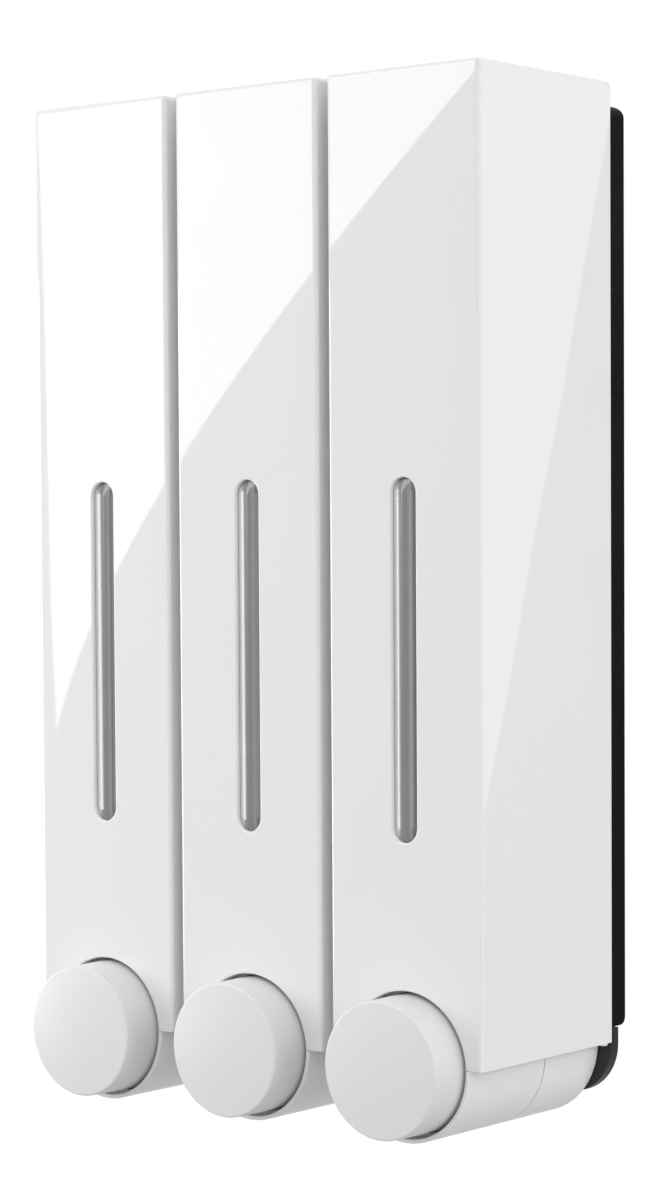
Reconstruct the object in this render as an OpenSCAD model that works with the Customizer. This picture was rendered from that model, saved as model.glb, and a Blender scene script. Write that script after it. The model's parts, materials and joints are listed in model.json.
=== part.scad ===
// Wall mounted soap dispenser with three chambers on one wall plate.
// Z is up, the wall is the plane y = 0 and the dispenser stands out from it towards -Y.
// The origin is the centre of the wall plate's back face. Lengths are millimetres.
// A chamber's pieces are drawn with z = 0 at its cover's lower edge, and its pump's pieces with z = 0
// on the pump axis; x = 0 is the chamber's centre and s is the distance from the wall.

/* [Covers] */
// Height of each cover
cover_h = 230; // [222:1:250]
// Depth of each cover from its back edge to its front face
cover_d = 53.2; // [52.6:0.2:56]
// Distance from one chamber's centre to the next
pitch = 47.4; // [47:0.2:54]
// Gap between neighbouring covers
cover_gap = 3.3; // [2.9:0.1:3.6]
// Thickness of the cover's walls
wall_t = 1.8; // [1.6:0.1:2]
// Rounding of the cover's front and top edges
edge_r = 1; // [0.6:0.1:1.4]
// Rounding of the cover's top back edge
back_edge_r = 2; // [1:0.2:3]

/* [Level window] */
// Bottom of the window slot above the cover's lower edge
window_low = 51.3; // [45:0.5:60]
// Top of the window slot above the cover's lower edge
window_high = 136; // [120:1:150]
// Width of the window slot
window_w = 7.2; // [6.4:0.2:8]
// How far the lens crown lies behind the cover's front face
lens_recess = 0.5; // [0.3:0.1:0.8]
// Radius of the lens's curved face
lens_r = 10; // [8:0.5:12]

/* [Wall plate] */
// Thickness of the wall plate
plate_t = 5.4; // [5.2:0.1:5.8]
// Height of the plate's lower edge above the covers' lower edge
plate_low = 3.6; // [3:0.2:5]
// Drop from the covers' top to the plate's top
plate_drop = 5.4; // [5:0.2:7]
// Radius of the wall screw holes
wall_hole_r = 2.3; // [2:0.1:2.6]
// Wall screw spacing up the plate
wall_hole_z = 170; // [168:1:172]

/* [Barrel and button] */
// Outer radius of the pump barrel
barrel_r = 18.3; // [18.2:0.1:18.6]
// Radius of the button's skirt where it meets the cover
button_r = 16.4; // [16.2:0.1:16.5]
// Radius of the button at its front rim
button_front_r = 16.2; // [15.9:0.1:16.2]
// How far the button stands out of the cover at rest
button_out = 10.7; // [10:0.1:12]
// Travel of the button when it is pushed home
stroke = 8.5; // [6:0.5:8.5]
// Height of the crown on the button's face
crown_h = 0.8; // [0.5:0.1:1]
// Distance of the barrel's seam behind the cover's front face
seam_back = 30.3; // [30.1:0.1:30.6]
// Drop from the cover's lower edge to the pump axis
axis_drop = 0.55; // [0.4:0.05:0.7]

/* [Pump] */
// Radius of the pump cylinder's bore
bore_r = 7.4; // [7:0.1:7.6]
// Radius of the spring wire
wire_r = 0.65; // [0.5:0.05:0.8]
// Turns in the return spring
spring_turns = 7; // [6:1:8]

/* [Hidden] */
$fn = 96;
SIDES = ["left", "middle", "right"];
CHAMBER_PIECES = [
    "cover", "level_window", "rear_shell", "reservoir", "filler_cap", "cap_seal", "pump_body",
    "barrel_sleeve", "push_button", "piston", "piston_seal", "return_spring", "inlet_valve",
    "outlet_nozzle", "spigot_seal"
];

past = 1; // how far a cutter runs past the face that it cuts
cover_w = pitch - cover_gap;
cover_half = cover_w / 2;
cover_s0 = plate_t + 0.1;
cover_s1 = cover_s0 + cover_d;
inner_half = cover_half - wall_t;
inner_s1 = cover_s1 - wall_t;

plate_high = cover_h - plate_drop;
edge_z = -(plate_low + plate_high) / 2; // covers' lower edge below the plate's centre
plate_half = pitch + cover_half;
plate_back_r = 2.2;
plate_corner_r = 3; // upper corners
plate_foot_r = 0.6; // lower corners
bay_half = inner_half + 0.25; // half width of the bay that a rear shell hangs in
bay_s = 2.8; // floor of the bays
bay_top = plate_high - 1.4;

shell_s0 = bay_s + 0.2;
shell_s1 = plate_t - 0.2;
shell_half = bay_half - 0.2;
shell_top = bay_top - 0.2;
lobe_low = -13.2; // the shell's lower lobe shows below the plate
lobe_corner_r = 12.6;
lobe_s1 = 6;
lobe_step_z = -0.3; // above this the lobe passes behind the cover's back edge

flange_half = inner_half - 0.3; // outer face of the shell's side flanges
flange_t = 2.4;
flange_s1 = 12;
flange_low = 19;
groove_depth = 1.2;
groove_s = [8, 10.6]; // vertical grooves that the cover's ribs run in
groove_low = 30;
rib_depth = 1.1;
rib_s = [8.4, 10.2];
rib_z = [32, 212];

stud_z = [60, 175]; // mushroom studs that the rear shells hang on
stud_neck_r = 2.5;
stud_head_r = 4.2;
stud_head_s = [5.5, 7];
key_drop = 9.5; // a keyhole's round mouth lies this far below its stud

screw_x = 10; // pump screws, either side of the axis
screw_z = -4;
screw_r = 1.45;
screw_head_r = 3;
screw_head_t = 1.5;
screw_tip_s = 15;

seam_s = cover_s1 - seam_back;
seam_gap = 0.3;
barrel_inner_r = barrel_r - 1.1; // bore of the sleeve
tube_wall = 1.8; // wall of the pump body's rear tube
disc_t = 2;
disc_s0 = seam_s - disc_t;
cyl_r = bore_r + 1.8;
cyl_s1 = cover_s1 - 4.7;
port_s = seam_s + 4.2; // inlet and outlet ports lie on one vertical line
port_r = 2.2;
inlet_boss_r = 6.6;
inlet_socket_r = 5.3;
inlet_socket_z = 10.4;
outlet_boss_r = 5;
outlet_socket_r = 3;
outlet_socket_z = -11.6;
boss_reach = 15.6; // both bosses stop inside the sleeve's bore
spring_seat_s = port_s + 7.4;

stop_s = 50; // the skirt's lip rests behind this ring
stop_r = button_r + 0.25;
lip_r = barrel_inner_r - 0.2;
lip_s = [port_s + inlet_boss_r + stroke + 0.4, 49.8]; // stops short of the inlet boss
arch_r = 17.3; // arch in the cover and mouth of the sleeve
mouth_s = inner_s1 - 3; // depth at which the mouth meets the stop ring
fine_r = 0.4; // rounding of the fine outer edges
mouth_r = 0.3; // rounding of the sleeve's inner front edge
skirt_inner_r = button_r - 1.5;
button_s1 = cover_s1 + button_out;
button_face_t = 2.5;
button_rim_r = 0.5;
gate_r = 1.1; // shallow moulding mark in the middle of the button's face
gate_depth = 0.05;

piston_s0 = port_s + port_r + stroke + 0.7; // pushed home, the piston stops short of the inlet
piston_s = [piston_s0, piston_s0 + 4.4];
stem_r = 3.2;
stem_s1 = button_s1 - button_face_t - 0.4;

bottle_half = flange_half - flange_t - 0.35;
bottle_s = [7.6, cover_s1 - 4.3];
bottle_z = [20.5, cover_h - 25];
bottle_t = 1.2;
bottle_corner_r = 2.5;
neck_s = 31;
neck_r = 11;
neck_inner_r = 9.6;
neck_h = 8.5;
lug_depth = 0.9;
lug_h = 2.2;
lug_rise = 3.4;
cap_wall = 2.6;
cap_top_t = 1.6;
seal_t = 0.5;
spigot_r = 3.7;
spigot_inner_r = 2.4;
spigot_low = 10.85;

// A solid cylinder along the wall's normal, from s0 out to s1.
module rod(r, s0, s1) {
    translate([0, -s0, 0])
        rotate([90, 0, 0])
            cylinder(r = r, h = s1 - s0);
}

// A flat outline in X and Z, thickened from s0 out to s1.
module sheet(s0, s1) {
    translate([0, -s0, 0])
        rotate([90, 0, 0])
            linear_extrude(height = s1 - s0)
                children();
}

// A plan outline in X and Y, raised from z0 to z1.
module column(z0, z1) {
    translate([0, 0, z0])
        linear_extrude(height = z1 - z0)
            children();
}

// A side outline in Y and Z, thickened to either side of x = 0.
module across(half) {
    translate([-half, 0, 0])
        rotate([90, 0, 90])
            linear_extrude(height = 2 * half)
                children();
}

// A profile in radius and s, turned about the pump axis.
module turned_on_axis() {
    rotate([90, 0, 0])
        rotate_extrude()
            children();
}

// A block between two corners.
module block(low, high) {
    translate(low)
        cube(high - low);
}

// What a round corner of radius r leaves over of a square one.
module corner_waste(r) {
    difference() {
        square(r + past);
        circle(r);
    }
}

// Cuts the front edge of a hole of radius hole_r about the pump axis to a round of radius r.
module hole_edge(hole_r, s1, r) {
    turned_on_axis()
        translate([hole_r + r, s1 - r])
            rotate(90)
                corner_waste(r);
}

// A rectangle from low to high whose corners have the radii [low left, low right, high right, high left].
module rounded(low, high, radii) {
    difference() {
        translate(low)
            square(high - low);
        if (radii[0] > 0)
            translate([low[0] + radii[0], low[1] + radii[0]])
                rotate(180)
                    corner_waste(radii[0]);
        if (radii[1] > 0)
            translate([high[0] - radii[1], low[1] + radii[1]])
                rotate(270)
                    corner_waste(radii[1]);
        if (radii[2] > 0)
            translate([high[0] - radii[2], high[1] - radii[2]])
                corner_waste(radii[2]);
        if (radii[3] > 0)
            translate([low[0] + radii[3], high[1] - radii[3]])
                rotate(90)
                    corner_waste(radii[3]);
    }
}

// A slot outline with round ends along Z, centred on x = 0.
module slot_outline(half, low, high) {
    translate([-half, low + half])
        square([2 * half, high - low - 2 * half]);
    for (z = [low + half, high - half])
        translate([0, z])
            circle(half);
}

// Both sides of a chamber.
module both_sides() {
    children();
    mirror([1, 0, 0])
        children();
}

// A chamber's place on the wall plate: -1 left, 0 middle, 1 right.
module at_chamber(place) {
    translate([place * pitch, 0, edge_z])
        children();
}

// The same place on its pump axis.
module at_pump(place) {
    translate([place * pitch, 0, edge_z - axis_drop])
        children();
}

// One plate carries all three chambers: a slab with a shallow bay for each rear shell.
module wall_plate() {
    color("#17171a")
        difference() {
            union() {
                difference() {
                    plate_slab();
                    for (place = [-1:1])
                        at_chamber(place)
                            block(
                                [-bay_half, -plate_t - past, plate_low - past],
                                [bay_half, -bay_s, bay_top]
                            );
                }
                for (place = [-1:1])
                    at_chamber(place)
                        for (z = stud_z)
                            translate([0, 0, z])
                                hanging_stud();
            }
            for (place = [-1, 1])
                for (z = [-wall_hole_z / 2, wall_hole_z / 2])
                    translate([place * pitch, 0, z])
                        rod(wall_hole_r, -past, plate_t + past);
        }
}

module plate_slab() {
    half_h = (plate_high - plate_low) / 2;
    intersection() {
        sheet(0, plate_t)
            rounded(
                [-plate_half, -half_h],
                [plate_half, half_h],
                [plate_foot_r, plate_foot_r, plate_corner_r, plate_corner_r]
            );
        across(plate_half)
            rounded([-plate_t, -half_h], [0, half_h], [0, plate_back_r, plate_back_r, 0]);
    }
}

module hanging_stud() {
    rod(stud_neck_r, bay_s - 0.5, stud_head_s[1]);
    rod(stud_head_r, stud_head_s[0], stud_head_s[1]);
}

// The black shell that carries one chamber: back panel, lower lobe and grooved side flanges.
module rear_shell() {
    color("#1a1a1d")
        difference() {
            union() {
                block([-shell_half, -shell_s1, lobe_step_z], [shell_half, -shell_s0, shell_top]);
                sheet(shell_s0, shell_s1)
                    lobe_outline(plate_low - 0.2);
                sheet(shell_s0, lobe_s1)
                    lobe_outline(lobe_step_z);
                both_sides()
                    side_flange();
                bottle_shelf();
                bottle_clip();
            }
            for (z = stud_z)
                keyhole(z);
            for (z = [-wall_hole_z / 2, wall_hole_z / 2])
                translate([0, 0, z - edge_z])
                    rod(5.2, shell_s0 - past, shell_s1 + past);
            both_sides()
                translate([screw_x, 0, screw_z - axis_drop]) {
                    rod(screw_r + 0.2, shell_s0 - past, lobe_s1 + past);
                    rod(screw_head_r + 0.3, shell_s0 - past, shell_s0 + screw_head_t + 0.1);
                }
        }
}

module lobe_outline(top) {
    rounded([-cover_half, lobe_low], [cover_half, top], [lobe_corner_r, lobe_corner_r, 0, 0]);
}

module side_flange() {
    difference() {
        block([flange_half - flange_t, -flange_s1, flange_low], [flange_half, -shell_s1, shell_top]);
        block(
            [flange_half - groove_depth, -groove_s[1], groove_low],
            [flange_half + past, -groove_s[0], shell_top + past]
        );
    }
}

module bottle_shelf() {
    block([-flange_half, -16, flange_low], [flange_half, -shell_s1, bottle_z[0] - 0.1]);
}

module bottle_clip() {
    block([-8, -14, bottle_z[1] + 0.3], [8, -shell_s1, bottle_z[1] + 2]);
}

// The stud enters the round mouth, then the shell drops until the stud fills the narrow end.
module keyhole(z) {
    translate([0, 0, z])
        rod(stud_neck_r + 0.3, shell_s0 - past, shell_s1 + past);
    translate([0, 0, z - key_drop])
        rod(stud_head_r + 0.5, shell_s0 - past, shell_s1 + past);
    block(
        [-stud_neck_r - 0.3, -shell_s1 - past, z - key_drop],
        [stud_neck_r + 0.3, -shell_s0 + past, z]
    );
}

// Identical self-tapping screws that hold the pump bodies to the rear shells, put in from behind.
module pump_screws() {
    color("silver")
        for (place = [-1:1])
            at_pump(place)
                both_sides()
                    translate([screw_x, 0, screw_z])
                        pump_screw();
}

module pump_screw() {
    head_s = shell_s0 + 0.1;
    difference() {
        union() {
            rod(screw_head_r, head_s, head_s + screw_head_t);
            rod(screw_r, head_s, screw_tip_s);
        }
        for (turn = [0, 90])
            rotate([0, turn, 0])
                block([-1.8, -head_s - 0.9, -0.35], [1.8, -head_s + past, 0.35]);
    }
}

// White gloss cover: a tall box, open behind and below, with an arch for the button.
module cover() {
    color("#f2f2f2") {
        difference() {
            cover_blank();
            block([-inner_half, -inner_s1, -past], [inner_half, -cover_s0 + past, cover_h - wall_t]);
            translate([0, 0, -axis_drop]) {
                rod(arch_r, inner_s1 - past, cover_s1 + past);
                hole_edge(arch_r, cover_s1, fine_r);
            }
            sheet(inner_s1 - past, cover_s1 + past)
                slot_outline(window_w / 2, window_low, window_high);
            slot_edge();
        }
        both_sides() {
            // rib that runs in the rear shell's groove
            block([inner_half - rib_depth, -rib_s[1], rib_z[0]], [inner_half + 0.5, -rib_s[0], rib_z[1]]);
            // small lug under the side wall, near the back
            block([inner_half, -9.3, -0.45], [cover_half, -7.7, 0.5]);
        }
    }
}

module cover_blank() {
    intersection() {
        sheet(cover_s0, cover_s1)
            rounded([-cover_half, 0], [cover_half, cover_h], [0, 0, edge_r, edge_r]);
        column(0, cover_h)
            rounded([-cover_half, -cover_s1], [cover_half, -cover_s0], [edge_r, edge_r, fine_r, fine_r]);
        across(cover_half)
            rounded([-cover_s1, 0], [-cover_s0, cover_h], [0, 0, back_edge_r, edge_r]);
    }
}

// Rounds the front edge of the window slot.
module slot_edge() {
    half = window_w / 2;
    for (z = [window_low + half, window_high - half])
        translate([0, 0, z])
            hole_edge(half, cover_s1, fine_r);
    both_sides()
        column(window_low + half, window_high - half)
            translate([half + fine_r, fine_r - cover_s1])
                rotate(180)
                    corner_waste(fine_r);
}

// Smoky lens with a shallow curved face and round ends, on a flange bonded behind the cover's front wall.
module level_window() {
    gap = 0.15;
    round_z = [window_low + window_w / 2, window_high - window_w / 2];
    lens_s = cover_s1 - lens_recess - lens_r;
    flange_s0 = inner_s1 - 1.5;
    color("#77797a") {
        intersection() {
            union() {
                translate([0, -lens_s, round_z[0]])
                    cylinder(r = lens_r, h = round_z[1] - round_z[0]);
                for (z = round_z)
                    translate([0, -lens_s, z])
                        sphere(r = lens_r);
            }
            sheet(flange_s0 + 0.2, cover_s1)
                slot_outline(window_w / 2 - gap, window_low + gap, window_high - gap);
        }
        sheet(flange_s0, inner_s1)
            slot_outline(window_w / 2 + 2.2, window_low - 2.2, window_high + 2.2);
    }
}

// Translucent bottle with a filler neck on top and an outlet spigot below.
module reservoir() {
    color("#dfe6e8")
        difference() {
            union() {
                column(bottle_z[0], bottle_z[1])
                    bottle_plan(0);
                translate([0, -neck_s, bottle_z[1] - bottle_t])
                    cylinder(r = neck_r, h = neck_h + bottle_t);
                bayonet_lugs(neck_r + lug_depth, 30);
                translate([0, -port_s, barrel_r + 0.05 - axis_drop])
                    cylinder(r = 6.5, h = bottle_z[0] - barrel_r + axis_drop);
                translate([0, -port_s, spigot_low])
                    cylinder(r = spigot_r, h = bottle_z[0] - spigot_low + 0.5);
            }
            column(bottle_z[0] + bottle_t, bottle_z[1] - bottle_t)
                bottle_plan(bottle_t);
            translate([0, -neck_s, bottle_z[1] - bottle_t - past])
                cylinder(r = neck_inner_r, h = neck_h + bottle_t + 2 * past);
            translate([0, -port_s, spigot_low - past])
                cylinder(r = spigot_inner_r, h = bottle_z[0] - spigot_low + bottle_t + 2 * past);
        }
}

module bottle_plan(inset) {
    half = bottle_half - inset;
    r = bottle_corner_r - inset;
    rounded([-half, -bottle_s[1] + inset], [half, -bottle_s[0] - inset], [r, r, r, r]);
}

// Two lugs opposite each other on the filler neck, each spanning the given angle.
module bayonet_lugs(r, span) {
    translate([0, -neck_s, bottle_z[1] + lug_rise])
        for (turn = [0, 180])
            rotate(turn - span / 2)
                rotate_extrude(angle = span)
                    translate([neck_r - 0.5, 0])
                        square([r - neck_r + 0.5, lug_h]);
}

// Quarter-turn cap: its skirt has a ring groove for the lugs and two slots where they enter.
module filler_cap() {
    outer_r = neck_r + cap_wall;
    top_z = bottle_z[1] + neck_h + seal_t;
    skirt_z = bottle_z[1] + 0.6;
    lug_r = neck_r + lug_depth + 0.25;
    lug_z = bottle_z[1] + lug_rise;
    color("#cfd3d6")
        difference() {
            union() {
                translate([0, -neck_s, skirt_z])
                    cylinder(r = outer_r, h = top_z + cap_top_t - skirt_z);
                translate([0, -neck_s, 0])
                    for (turn = [0:15:345])
                        rotate(turn)
                            translate([outer_r, 0, skirt_z + 0.6])
                                cylinder(r = 0.6, h = top_z + cap_top_t - skirt_z - 1.2);
                block([-9, -neck_s - 1.2, top_z], [9, -neck_s + 1.2, top_z + cap_top_t + 3]);
            }
            translate([0, -neck_s, skirt_z - past])
                cylinder(r = neck_r + 0.08, h = top_z - skirt_z + past);
            translate([0, -neck_s, lug_z - 0.3])
                cylinder(r = lug_r, h = lug_h + 0.6);
            translate([0, -neck_s, skirt_z - past])
                for (turn = [0, 180])
                    rotate(turn - 90 - 20)
                        rotate_extrude(angle = 40)
                            translate([neck_r - 1, 0])
                                square([lug_r - neck_r + 1, lug_z - skirt_z + past + lug_h]);
        }
}

// Flat washer between the filler neck and the cap.
module cap_seal() {
    color("#3c4043")
        translate([0, -neck_s, bottle_z[1] + neck_h])
            difference() {
                cylinder(r = neck_r - 0.1, h = seal_t);
                translate([0, 0, -past])
                    cylinder(r = neck_inner_r, h = seal_t + 2 * past);
            }
}

// Rear half of the barrel with the pump cylinder, the inlet and outlet bosses and the spring's seat.
module pump_body() {
    color("#eeeeee")
        difference() {
            union() {
                pump_shell();
                rod(cyl_r, disc_s0, cyl_s1);
                rod(spring_seat_r(), spring_seat_s - 1.2, spring_seat_s);
                translate([0, -port_s, 0])
                    cylinder(r = inlet_boss_r, h = boss_reach);
                translate([0, -port_s, -boss_reach])
                    cylinder(r = outlet_boss_r, h = boss_reach);
                both_sides()
                    translate([screw_x, 0, screw_z])
                        rod(3.6, lobe_s1, disc_s0 + 0.5);
            }
            rod(bore_r, seam_s, cyl_s1 + past);
            translate([0, -port_s, outlet_socket_z - past])
                cylinder(r = port_r, h = inlet_socket_z - outlet_socket_z + 2 * past);
            translate([0, -port_s, inlet_socket_z])
                cylinder(r = inlet_socket_r, h = boss_reach);
            translate([0, -port_s, -barrel_r - past])
                cylinder(r = outlet_socket_r, h = barrel_r + past + outlet_socket_z);
            both_sides()
                translate([screw_x, 0, screw_z])
                    rod(screw_r + 0.05, lobe_s1 - past, screw_tip_s + 1);
        }
}

function spring_seat_r() = cyl_r + 3.6;

// The barrel's rear tube, its front disc and the ring that centres the sleeve.
module pump_shell() {
    ring_r = barrel_inner_r - 0.1;
    ring_s1 = seam_s + 3.6;
    difference() {
        union() {
            rod(barrel_r, lobe_s1, seam_s - seam_gap / 2);
            rod(ring_r, disc_s0, ring_s1);
        }
        rod(barrel_r - tube_wall, lobe_s1 - past, disc_s0);
        rod(ring_r - 1.5, seam_s, ring_s1 + past);
        turned_on_axis()
            translate([barrel_r - fine_r, lobe_s1 + fine_r])
                rotate(270)
                    corner_waste(fine_r);
    }
}

// Front half of the barrel. Only its lower half reaches the cover's front face.
module barrel_sleeve() {
    color("#f0f0f0")
        difference() {
            rod(barrel_r, seam_s + seam_gap / 2, cover_s1);
            rod(barrel_inner_r, seam_s - past, stop_s);
            rod(stop_r, stop_s - past, cover_s1 + past);
            rod(arch_r, mouth_s, cover_s1 + past);
            hole_edge(arch_r, cover_s1, mouth_r);
            turned_on_axis()
                translate([barrel_r - fine_r, cover_s1 - fine_r])
                    corner_waste(fine_r);
            block(
                [-barrel_r - past, -cover_s1 - past, axis_drop - 0.15],
                [barrel_r + past, -inner_s1 + 0.3, barrel_r + past]
            );
            translate([0, -port_s, 0])
                cylinder(r = spigot_r + 0.4, h = barrel_r + past);
            translate([0, -port_s, -barrel_r - past])
                cylinder(r = outlet_socket_r, h = barrel_r);
        }
}

// Hollow push button with a gently crowned face and a lip that keeps it in the sleeve.
module push_button() {
    face_s0 = button_s1 - button_face_t;
    crown_r = (button_front_r * button_front_r + crown_h * crown_h) / (2 * crown_h);
    crown_c = [0, button_s1 - crown_r];
    rim_x = button_front_r - button_rim_r;
    rim_c = [rim_x, crown_c[1] + sqrt(pow(crown_r - button_rim_r, 2) - rim_x * rim_x)];
    meet = crown_c + (rim_c - crown_c) * crown_r / (crown_r - button_rim_r);
    color("#f4f4f4")
        difference() {
            union() {
                turned_on_axis() {
                    intersection() {
                        polygon([
                            [0, face_s0], [skirt_inner_r, face_s0], [skirt_inner_r, lip_s[0]],
                            [lip_r, lip_s[0]], [lip_r, lip_s[1]], [button_r, lip_s[1]],
                            [button_r, cover_s1], [button_front_r, rim_c[1]], meet,
                            [meet[0], button_s1 + past], [0, button_s1 + past]
                        ]);
                        difference() {
                            translate(crown_c)
                                circle(crown_r, $fn = 720);
                            translate([0, button_s1 - gate_depth])
                                square([gate_r, past]);
                        }
                    }
                    translate(rim_c)
                        circle(button_rim_r);
                }
                rod(stem_r + 2, face_s0 - 7, face_s0 + 0.5);
            }
            rod(stem_r + 0.02, face_s0 - 7 - past, stem_s1 + 0.1);
        }
}

// Piston and stem, pressed into the button.
module piston() {
    color("#d9dcde")
        difference() {
            union() {
                rod(stem_r, piston_s[0], stem_s1);
                rod(bore_r - 0.3, piston_s[0], piston_s[1]);
            }
            difference() {
                rod(bore_r + past, piston_s[0] + 1, piston_s[1] - 1);
                rod(bore_r - 1.8, piston_s[0], piston_s[1]);
            }
        }
}

// Lip ring in the piston's groove.
module piston_seal() {
    low_s = piston_s[0] + 1.05;
    high_s = piston_s[1] - 1.05;
    color("#2b2d30")
        turned_on_axis()
            polygon([
                [bore_r - 1.75, low_s], [bore_r - 0.7, low_s], [bore_r - 0.04, low_s + 0.5],
                [bore_r - 0.04, low_s + 0.9], [bore_r - 0.6, (low_s + high_s) / 2],
                [bore_r - 0.04, high_s - 0.9], [bore_r - 0.04, high_s - 0.5],
                [bore_r - 0.7, high_s], [bore_r - 1.75, high_s]
            ]);
}

// Return spring: round wire swept along a helix whose end turns lie closed.
module return_spring() {
    sides = 6;
    steps = 18;
    rings = spring_turns * steps;
    mean_r = cyl_r + 2;
    s0 = spring_seat_s + wire_r + 0.05;
    s1 = button_s1 - button_face_t - wire_r - 0.05;
    closed_rise = 2 * wire_r + 0.1;
    open_rise = (s1 - s0 - 2 * closed_rise) / (spring_turns - 2);
    function height(turn) =
        turn < 1 ? s0 + closed_rise * turn :
        turn > spring_turns - 1 ? s1 - closed_rise * (spring_turns - turn) :
        s0 + closed_rise + open_rise * (turn - 1);
    points = [
        for (ring = [0:rings])
            let (turn = ring / steps)
                for (side = [0:sides - 1])
                    let (around = 360 * side / sides, reach = mean_r + wire_r * cos(around))
                        [
                            reach * cos(360 * turn),
                            reach * sin(360 * turn),
                            height(turn) + wire_r * sin(around)
                        ]
    ];
    wire_faces = [
        for (ring = [0:rings - 1])
            for (side = [0:sides - 1])
                let (next = (side + 1) % sides, a = ring * sides, b = a + sides)
                    [a + side, b + side, b + next, a + next]
    ];
    start_face = [for (side = [0:sides - 1]) side];
    end_face = [for (side = [sides - 1:-1:0]) rings * sides + side];
    color("#b9bcc0")
        rotate([90, 0, 0])
            polyhedron(points = points, faces = concat([start_face, end_face], wire_faces));
}

// Silicone valve between the bottle's spigot and the pump cylinder.
module inlet_valve() {
    color("#c9cdd2")
        translate([0, -port_s, 0])
            rotate_extrude()
                polygon([
                    [0, inlet_socket_z - 2.4], [0.5, inlet_socket_z - 2.4],
                    [port_r - 0.5, inlet_socket_z - 1], [port_r - 0.5, inlet_socket_z + 0.02],
                    [inlet_socket_r - 0.2, inlet_socket_z + 0.02],
                    [inlet_socket_r - 0.2, inlet_socket_z + 0.8], [1.4, inlet_socket_z + 0.8],
                    [1, inlet_socket_z - 0.6], [0, inlet_socket_z - 1.8]
                ]);
}

// Silicone nozzle with a crossed slit, flush in the underside of the barrel.
module outlet_nozzle() {
    tip_z = -barrel_r + 0.2;
    top_z = outlet_socket_z - 0.1;
    color("#c9cdd2")
        translate([0, -port_s, 0])
            difference() {
                translate([0, 0, tip_z])
                    cylinder(r = outlet_socket_r - 0.08, h = top_z - tip_z);
                translate([0, 0, tip_z + 1])
                    cylinder(r = 1.7, h = top_z - tip_z);
                for (turn = [0, 90])
                    rotate(turn)
                        block([-1.4, -0.12, tip_z - past], [1.4, 0.12, tip_z + 1.5]);
            }
}

// O-ring round the bottle's spigot.
module spigot_seal() {
    mean_r = (spigot_r + inlet_socket_r) / 2;
    color("#2b2d30")
        translate([0, -port_s, 13.5])
            rotate_extrude()
                translate([mean_r, 0])
                    circle((inlet_socket_r - spigot_r) / 2 - 0.02);
}

wall_plate();
pump_screws();
for (place = [-1:1]) {
    side = SIDES[place + 1];
    at_chamber(place) cover();
    at_chamber(place) level_window();
    at_chamber(place) rear_shell();
    at_chamber(place) reservoir();
    at_chamber(place) filler_cap();
    at_chamber(place) cap_seal();
    at_pump(place) pump_body();
    at_pump(place) barrel_sleeve();
    at_pump(place) push_button();
    at_pump(place) piston();
    at_pump(place) piston_seal();
    at_pump(place) return_spring();
    at_pump(place) inlet_valve();
    at_pump(place) outlet_nozzle();
    at_pump(place) spigot_seal();
}
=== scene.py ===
import json
import math

import bpy
from mathutils import Matrix, Vector


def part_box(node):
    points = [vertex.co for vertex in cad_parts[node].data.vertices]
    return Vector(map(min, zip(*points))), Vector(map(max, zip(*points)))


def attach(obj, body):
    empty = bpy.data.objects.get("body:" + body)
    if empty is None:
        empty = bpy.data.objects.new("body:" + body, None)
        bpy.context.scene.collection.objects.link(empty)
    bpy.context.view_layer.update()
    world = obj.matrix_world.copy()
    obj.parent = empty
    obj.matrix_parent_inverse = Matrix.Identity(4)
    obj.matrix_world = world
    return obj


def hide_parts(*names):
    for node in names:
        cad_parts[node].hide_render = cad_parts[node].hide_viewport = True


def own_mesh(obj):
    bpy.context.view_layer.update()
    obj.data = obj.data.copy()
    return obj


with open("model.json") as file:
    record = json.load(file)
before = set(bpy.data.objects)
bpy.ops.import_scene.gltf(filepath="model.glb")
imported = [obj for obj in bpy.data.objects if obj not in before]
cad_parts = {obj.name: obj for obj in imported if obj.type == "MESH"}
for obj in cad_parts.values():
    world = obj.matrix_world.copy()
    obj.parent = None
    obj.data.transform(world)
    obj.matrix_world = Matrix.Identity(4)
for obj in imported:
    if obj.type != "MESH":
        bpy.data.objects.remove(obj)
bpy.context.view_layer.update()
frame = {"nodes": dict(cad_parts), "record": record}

SIDES = ("left", "middle", "right")
AXIS_Z = (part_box("push_button_middle")[0].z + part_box("push_button_middle")[1].z) / 2  # pump axes
FRONT_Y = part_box("cover_middle")[0].y  # front face of the covers
RIGHT_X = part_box("cover_right")[1].x  # outer side of the right cover
CAMERA_AT = Vector((0.49067, -0.63288, 0.01164))


# ---------------------------------------------------------------- camera

def add_camera():
    azimuth = math.radians(39.316)
    elevation = math.radians(2.741)
    roll = math.radians(-0.364)
    ahead = Vector((
        -math.sin(azimuth) * math.cos(elevation),
        math.cos(azimuth) * math.cos(elevation),
        -math.sin(elevation),
    ))
    level = Vector((math.cos(azimuth), math.sin(azimuth), 0))
    upright = level.cross(ahead)
    right = level * math.cos(roll) + upright * math.sin(roll)
    up = upright * math.cos(roll) - level * math.sin(roll)
    data = bpy.data.cameras.new("camera")
    data.lens = 94.2
    data.sensor_width = 36
    data.shift_x = 0.0123
    data.shift_y = 0.0605
    data.clip_start = 0.02
    data.clip_end = 20
    camera = bpy.data.objects.new("camera", data)
    turn = Matrix((right, up, -ahead)).transposed().to_4x4()
    camera.matrix_world = Matrix.Translation(CAMERA_AT) @ turn
    bpy.context.scene.collection.objects.link(camera)
    bpy.context.scene.camera = camera


# ---------------------------------------------------------------- node helpers

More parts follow.
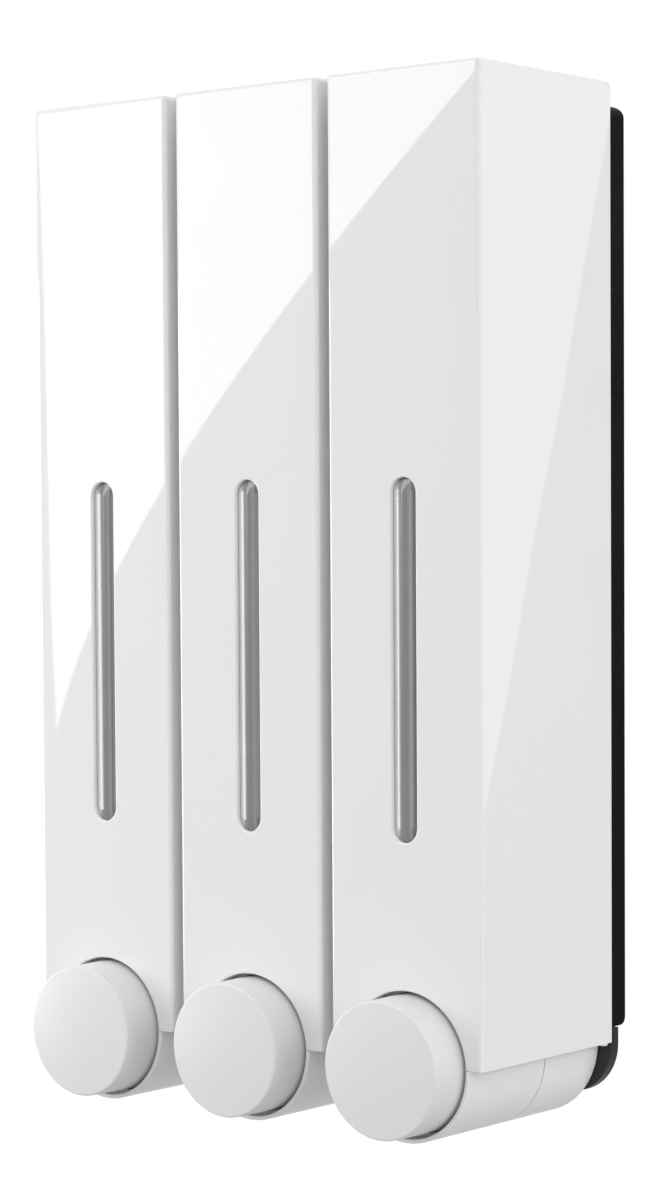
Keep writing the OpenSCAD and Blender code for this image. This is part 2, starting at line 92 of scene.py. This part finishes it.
def new_tree(name):
    """A material with an empty Principled shader. Returns the material, its tree and the shader."""
    material = bpy.data.materials.new(name)
    material.use_nodes = True
    tree = material.node_tree
    tree.nodes.clear()
    shader = tree.nodes.new("ShaderNodeBsdfPrincipled")
    output = tree.nodes.new("ShaderNodeOutputMaterial")
    tree.links.new(shader.outputs["BSDF"], output.inputs["Surface"])
    return material, tree, shader


def place_of(tree, stretch=(1, 1, 1)):
    """The point's own place in metres, in the object's frame, scaled along each axis."""
    coordinates = tree.nodes.new("ShaderNodeTexCoord")
    mapping = tree.nodes.new("ShaderNodeMapping")
    mapping.inputs["Scale"].default_value = stretch
    tree.links.new(coordinates.outputs["Object"], mapping.inputs["Vector"])
    return mapping.outputs["Vector"]


def noise(tree, place, size, detail=2.0, roughness=0.5):
    """Noise whose features are about size metres across, from 0 to 1."""
    node = tree.nodes.new("ShaderNodeTexNoise")
    node.inputs["Scale"].default_value = 1 / size
    node.inputs["Detail"].default_value = detail
    node.inputs["Roughness"].default_value = roughness
    tree.links.new(place, node.inputs["Vector"])
    return node.outputs["Fac"]


def remap(tree, value, low, high, to_low, to_high):
    node = tree.nodes.new("ShaderNodeMapRange")
    for name, number in (("From Min", low), ("From Max", high), ("To Min", to_low), ("To Max", to_high)):
        node.inputs[name].default_value = number
    tree.links.new(value, node.inputs["Value"])
    return node.outputs["Result"]


def ramp(tree, value, stops):
    """A colour ramp through (position, (r, g, b)) stops."""
    node = tree.nodes.new("ShaderNodeValToRGB")
    elements = node.color_ramp.elements
    while len(elements) < len(stops):
        elements.new(0.5)
    for element, (position, colour) in zip(elements, stops):
        element.position = position
        element.color = (*colour, 1)
    tree.links.new(value, node.inputs["Fac"])
    return node.outputs["Color"]


def mix(tree, factor, first, second):
    """A blend of two colours; each is an output or three numbers."""
    node = tree.nodes.new("ShaderNodeMix")
    node.data_type = "RGBA"
    tree.links.new(factor, node.inputs["Factor"])
    for value, entry in ((first, node.inputs[6]), (second, node.inputs[7])):
        if isinstance(value, tuple):
            entry.default_value = (*value, 1)
        else:
            tree.links.new(value, entry)
    return node.outputs[2]


def bump(tree, heights):
    """Bump from (height output, distance in metres) pairs, laid one over the other."""
    normal = None
    for height, distance in heights:
        node = tree.nodes.new("ShaderNodeBump")
        node.inputs["Strength"].default_value = 1
        node.inputs["Distance"].default_value = distance
        tree.links.new(height, node.inputs["Height"])
        if normal is not None:
            tree.links.new(normal, node.inputs["Normal"])
        normal = node.outputs["Normal"]
    return normal


def edge_mask(tree, radius):
    """1 along the outer edges, 0 on flat faces: how far a bevelled normal leans from the true one."""
    bevel = tree.nodes.new("ShaderNodeBevel")
    bevel.samples = 4
    bevel.inputs["Radius"].default_value = radius
    geometry = tree.nodes.new("ShaderNodeNewGeometry")
    lean = tree.nodes.new("ShaderNodeVectorMath")
    lean.operation = "DOT_PRODUCT"
    tree.links.new(bevel.outputs["Normal"], lean.inputs[0])
    tree.links.new(geometry.outputs["Normal"], lean.inputs[1])
    return remap(tree, lean.outputs["Value"], 0.99, 0.8, 0, 1)


def moulded(name, light, dark, rough, swing, grain, sway=None, specular=0.5, worn=None):
    """Moulded plastic: broad tone drift, roughness that varies, fine grain and worn edges.

    light and dark are the two ends of the tone, rough the mean roughness and swing how far it
    varies; grain is (size, height) of the fine texture and sway (size, height) of the slow
    waviness that a moulded face has, all in metres. worn is the tone of rubbed edges."""
    material, tree, shader = new_tree(name)
    place = place_of(tree)
    tone = noise(tree, place, 0.03, detail=3)
    colour = mix(tree, remap(tree, tone, 0.3, 0.7, 0, 1), dark, light)
    smudge = noise(tree, place, 0.012, detail=4, roughness=0.6)
    roughness = remap(tree, smudge, 0.3, 0.7, rough - swing, rough + swing)
    if worn:
        rubbed = noise(tree, place, 0.004, detail=3)
        edge = edge_mask(tree, 0.0005)
        both = tree.nodes.new("ShaderNodeMath")
        both.operation = "MULTIPLY"
        tree.links.new(edge, both.inputs[0])
        tree.links.new(remap(tree, rubbed, 0.35, 0.65, 0.2, 0.9), both.inputs[1])
        colour = mix(tree, both.outputs["Value"], colour, worn)
    tree.links.new(colour, shader.inputs["Base Color"])
    tree.links.new(roughness, shader.inputs["Roughness"])
    heights = [(noise(tree, place, grain[0], detail=2), grain[1])]
    if sway:
        heights.append((noise(tree, place, sway[0], detail=1), sway[1]))
    tree.links.new(bump(tree, heights), shader.inputs["Normal"])
    shader.inputs["IOR"].default_value = 1.5
    shader.inputs["Specular IOR Level"].default_value = specular
    return material, tree, shader


def metal(name, light, dark, rough, stretch, anisotropy):
    """Metal with fine drawn lines along the axes whose stretch is small."""
    material, tree, shader = new_tree(name)
    lines = noise(tree, place_of(tree, stretch), 0.0003, detail=3)
    stain = noise(tree, place_of(tree), 0.003, detail=3)
    tree.links.new(mix(tree, remap(tree, stain, 0.3, 0.7, 0, 1), dark, light), shader.inputs["Base Color"])
    tree.links.new(remap(tree, lines, 0.3, 0.7, rough - 0.08, rough + 0.1), shader.inputs["Roughness"])
    tree.links.new(bump(tree, [(lines, 0.000004)]), shader.inputs["Normal"])
    shader.inputs["Metallic"].default_value = 1
    shader.inputs["Anisotropic"].default_value = anisotropy
    return material


# ---------------------------------------------------------------- materials

def cover_white():
    """High gloss white ABS, with the slight waviness of a large moulded face."""
    material, tree, shader = moulded(
        "cover_white", (0.845, 0.845, 0.845), (0.835, 0.835, 0.838), 0.015, 0.006,
        grain=(0.0006, 0.00000003), sway=(0.03, 0.0000006), worn=(0.87, 0.87, 0.87),
    )
    return material


def barrel_white():
    material, tree, shader = moulded(
        "barrel_white", (0.83, 0.83, 0.83), (0.815, 0.815, 0.82), 0.14, 0.03,
        grain=(0.0005, 0.0000012), sway=(0.014, 0.00001), worn=(0.82, 0.82, 0.82),
    )
    return material


def button_white():
    """Satin white with a fine spark-eroded grain."""
    material, tree, shader = moulded(
        "button_white", (0.76, 0.76, 0.76), (0.745, 0.745, 0.75), 0.32, 0.03,
        grain=(0.00035, 0.000003), worn=(0.76, 0.76, 0.76),
    )
    return material


def plate_black():
    """Black plastic with a fine leathery texture and a few pale specks of dust."""
    material, tree, shader = moulded(
        "plate_black", (0.0065, 0.0065, 0.007), (0.0045, 0.0045, 0.005), 0.42, 0.06,
        grain=(0.0005, 0.000012), specular=0.05, worn=(0.02, 0.02, 0.021),
    )
    add_specks(tree, shader)
    return material


def shell_black():
    material, tree, shader = moulded(
        "shell_black", (0.012, 0.012, 0.0125), (0.009, 0.009, 0.0095), 0.38, 0.05,
        grain=(0.0004, 0.000006), specular=0.5, worn=(0.03, 0.03, 0.031),
    )
    add_specks(tree, shader)
    return material


def add_specks(tree, shader):
    """Scattered dust over whatever colour the shader already takes."""
    cells = tree.nodes.new("ShaderNodeTexVoronoi")
    cells.inputs["Scale"].default_value = 450
    tree.links.new(place_of(tree), cells.inputs["Vector"])
    patches = noise(tree, place_of(tree), 0.006)
    dot = remap(tree, cells.outputs["Distance"], 0.07, 0.12, 1, 0)
    here = remap(tree, patches, 0.55, 0.62, 0, 0.6)
    both = tree.nodes.new("ShaderNodeMath")
    both.operation = "MULTIPLY"
    tree.links.new(dot, both.inputs[0])
    tree.links.new(here, both.inputs[1])
    under = shader.inputs["Base Color"].links[0].from_socket
    tree.links.new(mix(tree, both.outputs["Value"], under, (0.09, 0.09, 0.09)), shader.inputs["Base Color"])


def window_smoke():
    """Polished smoky acrylic, with light and shade painted on by how far the curved face slopes sideways.

    A painted glow makes the left flank pale, painted shade makes the right rim dark, and a painted light
    band runs up to the right of the crown as a paler strip."""
    material, tree, shader = new_tree("window_smoke")
    place = place_of(tree)
    haze = noise(tree, place, 0.01, detail=3)
    geometry = tree.nodes.new("ShaderNodeNewGeometry")
    split = tree.nodes.new("ShaderNodeSeparateXYZ")
    tree.links.new(geometry.outputs["Normal"], split.inputs["Vector"])
    # the face's sideways slope runs from -0.34 at the left rim through 0 at the crown to 0.34
    across = remap(tree, split.outputs["X"], -0.34, 0.34, 0, 1)
    # the ramp paints light and shade on the lens: a painted glow on the left flank, a painted light band
    # right of the crown and painted shade on the right rim; the middle stops are the lens's own smoky tone
    lens_tone_and_painted_light = ramp(tree, across, [
        (0.12, (0.72, 0.72, 0.72)), (0.25, (0.31, 0.308, 0.308)), (0.38, (0.24, 0.237, 0.237)),
        (0.60, (0.23, 0.227, 0.227)), (0.68, (0.29, 0.288, 0.288)), (0.75, (0.30, 0.298, 0.298)),
        (0.81, (0.17, 0.169, 0.169)),
    ])
    tint = remap(tree, haze, 0.3, 0.7, 0, 0.08)
    tree.links.new(mix(tree, tint, lens_tone_and_painted_light, (0.08, 0.08, 0.08)), shader.inputs["Base Color"])
    smear = noise(tree, place_of(tree, (1, 1, 0.3)), 0.006, detail=4)
    tree.links.new(remap(tree, smear, 0.3, 0.7, 0.04, 0.10), shader.inputs["Roughness"])
    tree.links.new(bump(tree, [(noise(tree, place, 0.012, detail=1), 0.00001)]), shader.inputs["Normal"])
    shader.inputs["IOR"].default_value = 1.49
    return material


def bottle_clear():
    """Translucent blow-moulded bottle."""
    material, tree, shader = moulded(
        "bottle_clear", (0.86, 0.89, 0.90), (0.80, 0.84, 0.86), 0.34, 0.05,
        grain=(0.001, 0.00001), sway=(0.01, 0.00004),
    )
    shader.inputs["Transmission Weight"].default_value = 0.55
    shader.inputs["IOR"].default_value = 1.45
    return material


def cap_grey():
    material, tree, shader = moulded(
        "cap_grey", (0.33, 0.345, 0.36), (0.29, 0.305, 0.32), 0.36, 0.05,
        grain=(0.0004, 0.000006), worn=(0.42, 0.43, 0.44),
    )
    return material


def pump_natural():
    material, tree, shader = moulded(
        "pump_natural", (0.68, 0.68, 0.66), (0.63, 0.63, 0.61), 0.33, 0.05,
        grain=(0.0005, 0.000004),
    )
    return material


def seal_rubber():
    material, tree, shader = moulded(
        "seal_rubber", (0.022, 0.022, 0.024), (0.014, 0.014, 0.015), 0.62, 0.08,
        grain=(0.0003, 0.000008), specular=0.3,
    )
    return material


def valve_silicone():
    material, tree, shader = moulded(
        "valve_silicone", (0.62, 0.65, 0.67), (0.54, 0.57, 0.60), 0.45, 0.06,
        grain=(0.0004, 0.000004),
    )
    shader.inputs["Transmission Weight"].default_value = 0.3
    return material


MATERIALS = {
    "cover_white": cover_white(),
    "barrel_white": barrel_white(),
    "button_white": button_white(),
    "plate_black": plate_black(),
    "shell_black": shell_black(),
    "window_smoke": window_smoke(),
    "bottle_clear": bottle_clear(),
    "cap_grey": cap_grey(),
    "pump_natural": pump_natural(),
    "seal_rubber": seal_rubber(),
    "valve_silicone": valve_silicone(),
    "spring_steel": metal(
        "spring_steel", (0.62, 0.62, 0.63), (0.50, 0.50, 0.51), 0.24, (0.15, 1, 0.15), 0.4
    ),
    "screw_steel": metal("screw_steel", (0.58, 0.58, 0.60), (0.44, 0.44, 0.45), 0.30, (1, 1, 1), 0.0),
}


def paint_cad_nodes():
    for part in frame["record"]["subparts"]:
        node = frame["nodes"][part["node"]]
        for entry in node.material_slots:
            entry.material = MATERIALS[part["material_slot"]]


# ---------------------------------------------------------------- return springs

def add_mesh(name, points, faces, material):
    mesh = bpy.data.meshes.new(name)
    mesh.from_pydata(points, [], faces)
    mesh.update()
    mesh.materials.append(material)
    thing = bpy.data.objects.new(name, mesh)
    bpy.context.scene.collection.objects.link(thing)
    return thing


def add_spring(side):
    """Compression spring of round wire, with closed end turns, round the pump cylinder."""
    low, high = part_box("return_spring_" + side)
    centre_x = (low.x + high.x) / 2
    wire = 0.00065  # radius of the wire
    mean = (high.x - low.x) / 2 - wire
    turns = 7
    steps = 56  # rings of points in each turn
    around = 14  # points in each ring
    back = high.y - wire
    front = low.y + wire
    closed = 2 * wire + 0.0001  # rise of a closed end turn
    rise = (back - front - 2 * closed) / (turns - 2)
    points = []
    rings = turns * steps
    for ring in range(rings + 1):
        turn = ring / steps
        if turn < 1:
            along = closed * turn
        elif turn > turns - 1:
            along = back - front - closed * (turns - turn)
        else:
            along = closed + rise * (turn - 1)
        # the ends of the wire taper a little, as cut and ground ends do
        end = min(ring, rings - ring)
        girth = wire * (0.72 + 0.28 * min(1, end / 6))
        a = 2 * math.pi * turn
        for k in range(around):
            b = 2 * math.pi * k / around
            reach = mean + girth * math.cos(b)
            points.append((
                centre_x + reach * math.cos(a),
                back - along - girth * math.sin(b),
                AXIS_Z + reach * math.sin(a),
            ))
    faces = []
    for ring in range(rings):
        a, b = ring * around, (ring + 1) * around
        for k in range(around):
            after = (k + 1) % around
            faces.append((a + k, b + k, b + after, a + after))
    faces.append(tuple(range(around)))
    faces.append(tuple(rings * around + k for k in reversed(range(around))))
    spring = add_mesh("spring_" + side, points, faces, MATERIALS["spring_steel"])
    for face in spring.data.polygons:
        face.use_smooth = len(face.vertices) == 4
    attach(spring, "base")
    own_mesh(spring)
    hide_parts("return_spring_" + side)


# ---------------------------------------------------------------- studio

def glow(name, strength):
    material = bpy.data.materials.new(name)
    material.use_nodes = True
    tree = material.node_tree
    tree.nodes.clear()
    emission = tree.nodes.new("ShaderNodeEmission")
    emission.inputs["Strength"].default_value = strength
    output = tree.nodes.new("ShaderNodeOutputMaterial")
    tree.links.new(emission.outputs["Emission"], output.inputs["Surface"])
    return material


def add_card(name, outline, strength):
    """A glowing card that shows only in gloss, as a lit panel outside the picture does."""
    card = add_mesh(name, outline, [tuple(range(len(outline)))], glow(name, strength))
    card.visible_camera = False
    card.visible_diffuse = False
    card.visible_shadow = False
    return card


def seen_in_plane(points, axis, plane, reach):
    """Where a card's corners lie so that the camera sees them mirrored at these points of a flat face."""
    mirrored = CAMERA_AT.copy()
    mirrored[axis] = 2 * plane - mirrored[axis]
    return [tuple(mirrored + reach * (Vector(point) - mirrored)) for point in points]


def add_front_card():
    """The softbox in front and to the left: a straight left side and a long curved lower side."""
    start, bend, tip = Vector((0.072, 0.1159)), Vector((-0.047, 0.0159)), Vector((-0.0639, -0.0411))
    steps = 24
    outline = [(-0.0765, 0.486), (0.37, 0.486), (0.37, 0.366)]
    for k in range(steps + 1):
        t = k / steps
        outline.append(tuple(start * (1 - t) ** 2 + bend * 2 * t * (1 - t) + tip * t ** 2))
    outline += [(-0.0654, -0.0081), (-0.0667, 0.0679), (-0.0683, 0.1159)]
    points = [(x, FRONT_Y, z) for x, z in outline]
    add_card("card_front", seen_in_plane(points, 1, FRONT_Y, 2.5), 4.9)


def add_side_card():
    """The softbox behind and to the right, which lights the front of the right cover's side."""
    outline = [
        (-0.120, 0.341), (0.066, 0.341), (-0.0037, 0.1159), (-0.0055, 0.1084), (-0.0195, 0.0634),
        (-0.0257, 0.0419), (-0.0364, 0.0114), (-0.0469, -0.0237), (-0.056, -0.0507), (-0.120, -0.2),
    ]
    points = [(RIGHT_X, y, z) for y, z in outline]
    add_card("card_side", seen_in_plane(points, 0, RIGHT_X, 2.0), 1.5)


def add_strips():
    """Upright light panels in front, seen as a soft streak and a faint band in the level windows."""
    for name, start, end, reach, strength in (
        ("card_band", 8, 18, 1.3, 2.6),
        ("streak_near", 52, 56, 1.2, 2.6),
        ("streak_rise", 56, 59, 1.2, 6.5),
        ("streak_peak", 59, 67, 1.2, 9.2),
        ("streak_fall", 67, 71, 1.2, 8.0),
        ("streak_far", 71, 86, 1.2, 5.0),
    ):
        ends = [(-reach * math.sin(a), -0.06 - reach * math.cos(a)) for a in map(math.radians, (start, end))]
        outline = [(*ends[0], -0.30), (*ends[1], -0.30), (*ends[1], 0.16), (*ends[0], 0.16)]
        add_card(name, outline, strength)


def add_lamp(name, place, target, size, power):
    """A square soft lamp, which lights the object but doesn't show in its gloss."""
    data = bpy.data.lights.new(name, "AREA")
    data.size = size
    data.energy = power
    lamp = bpy.data.objects.new(name, data)
    lamp.location = place
    lamp.rotation_euler = (Vector(target) - Vector(place)).to_track_quat("-Z", "Y").to_euler()
    lamp.visible_camera = False
    lamp.visible_glossy = False
    bpy.context.scene.collection.objects.link(lamp)


def add_world():
    """Soft light from all round, brighter above; the camera itself sees plain white."""
    world = bpy.data.worlds.new("studio")
    bpy.context.scene.world = world
    world.use_nodes = True
    tree = world.node_tree
    tree.nodes.clear()
    coordinates = tree.nodes.new("ShaderNodeTexCoord")
    split = tree.nodes.new("ShaderNodeSeparateXYZ")
    tree.links.new(coordinates.outputs["Generated"], split.inputs["Vector"])
    height = remap(tree, split.outputs["Z"], -1, 1, 0, 1)
    upright = ramp(tree, height, [
        (0.0, (0.42, 0.42, 0.42)), (0.40, (0.66, 0.66, 0.66)),
        (0.60, (0.79, 0.79, 0.79)), (1.0, (1.0, 1.0, 1.0)),
    ])
    # darker behind the wall to the right
    aside = tree.nodes.new("ShaderNodeVectorMath")
    aside.operation = "DOT_PRODUCT"
    aside.inputs[1].default_value = (0.57, 0.82, 0)
    tree.links.new(coordinates.outputs["Generated"], aside.inputs[0])
    shade = mix(tree, remap(tree, aside.outputs["Value"], 0.85, 0.97, 0, 0.6), upright, (0, 0, 0))
    soft = tree.nodes.new("ShaderNodeBackground")
    tree.links.new(shade, soft.inputs["Color"])
    plain = tree.nodes.new("ShaderNodeBackground")
    plain.inputs["Color"].default_value = (1, 1, 1, 1)
    path = tree.nodes.new("ShaderNodeLightPath")
    choose = tree.nodes.new("ShaderNodeMixShader")
    tree.links.new(path.outputs["Is Camera Ray"], choose.inputs["Fac"])
    tree.links.new(soft.outputs["Background"], choose.inputs[1])
    tree.links.new(plain.outputs["Background"], choose.inputs[2])
    output = tree.nodes.new("ShaderNodeOutputWorld")
    tree.links.new(choose.outputs["Shader"], output.inputs["Surface"])


def add_floor():
    """A pale floor well below the dispenser, which hangs on a wall."""
    material, tree, shader = new_tree("floor_pale")
    place = place_of(tree)
    tone = noise(tree, place, 0.4, detail=3)
    tree.links.new(mix(tree, tone, (0.90, 0.90, 0.90), (0.94, 0.94, 0.94)), shader.inputs["Base Color"])
    tree.links.new(remap(tree, tone, 0.3, 0.7, 0.7, 0.8), shader.inputs["Roughness"])
    shader.inputs["Emission Color"].default_value = (1, 1, 1, 1)
    shader.inputs["Emission Strength"].default_value = 0.4
    count, radius, height = 96, 4.0, -0.95
    points = [
        (radius * math.cos(2 * math.pi * k / count), radius * math.sin(2 * math.pi * k / count), height)
        for k in range(count)
    ]
    floor = add_mesh("floor", points, [tuple(range(count))], material)
    floor.visible_diffuse = False
    floor.visible_glossy = False


add_camera()
paint_cad_nodes()
for side in SIDES:
    add_spring(side)
add_front_card()
add_side_card()
add_strips()
add_lamp("key", (-0.55, -0.42, 0.10), (0, -0.06, 0), 0.35, 1.75)
add_lamp("fill", (0.9, 0.1, 0.0), (0.07, -0.03, -0.03), 0.8, 1.5)
add_lamp("side", (0.85, -0.24, 0.10), (0.05, -0.05, 0), 0.4, 0.9)
add_world()
add_floor()
bpy.context.scene.view_settings.view_transform = "Standard"
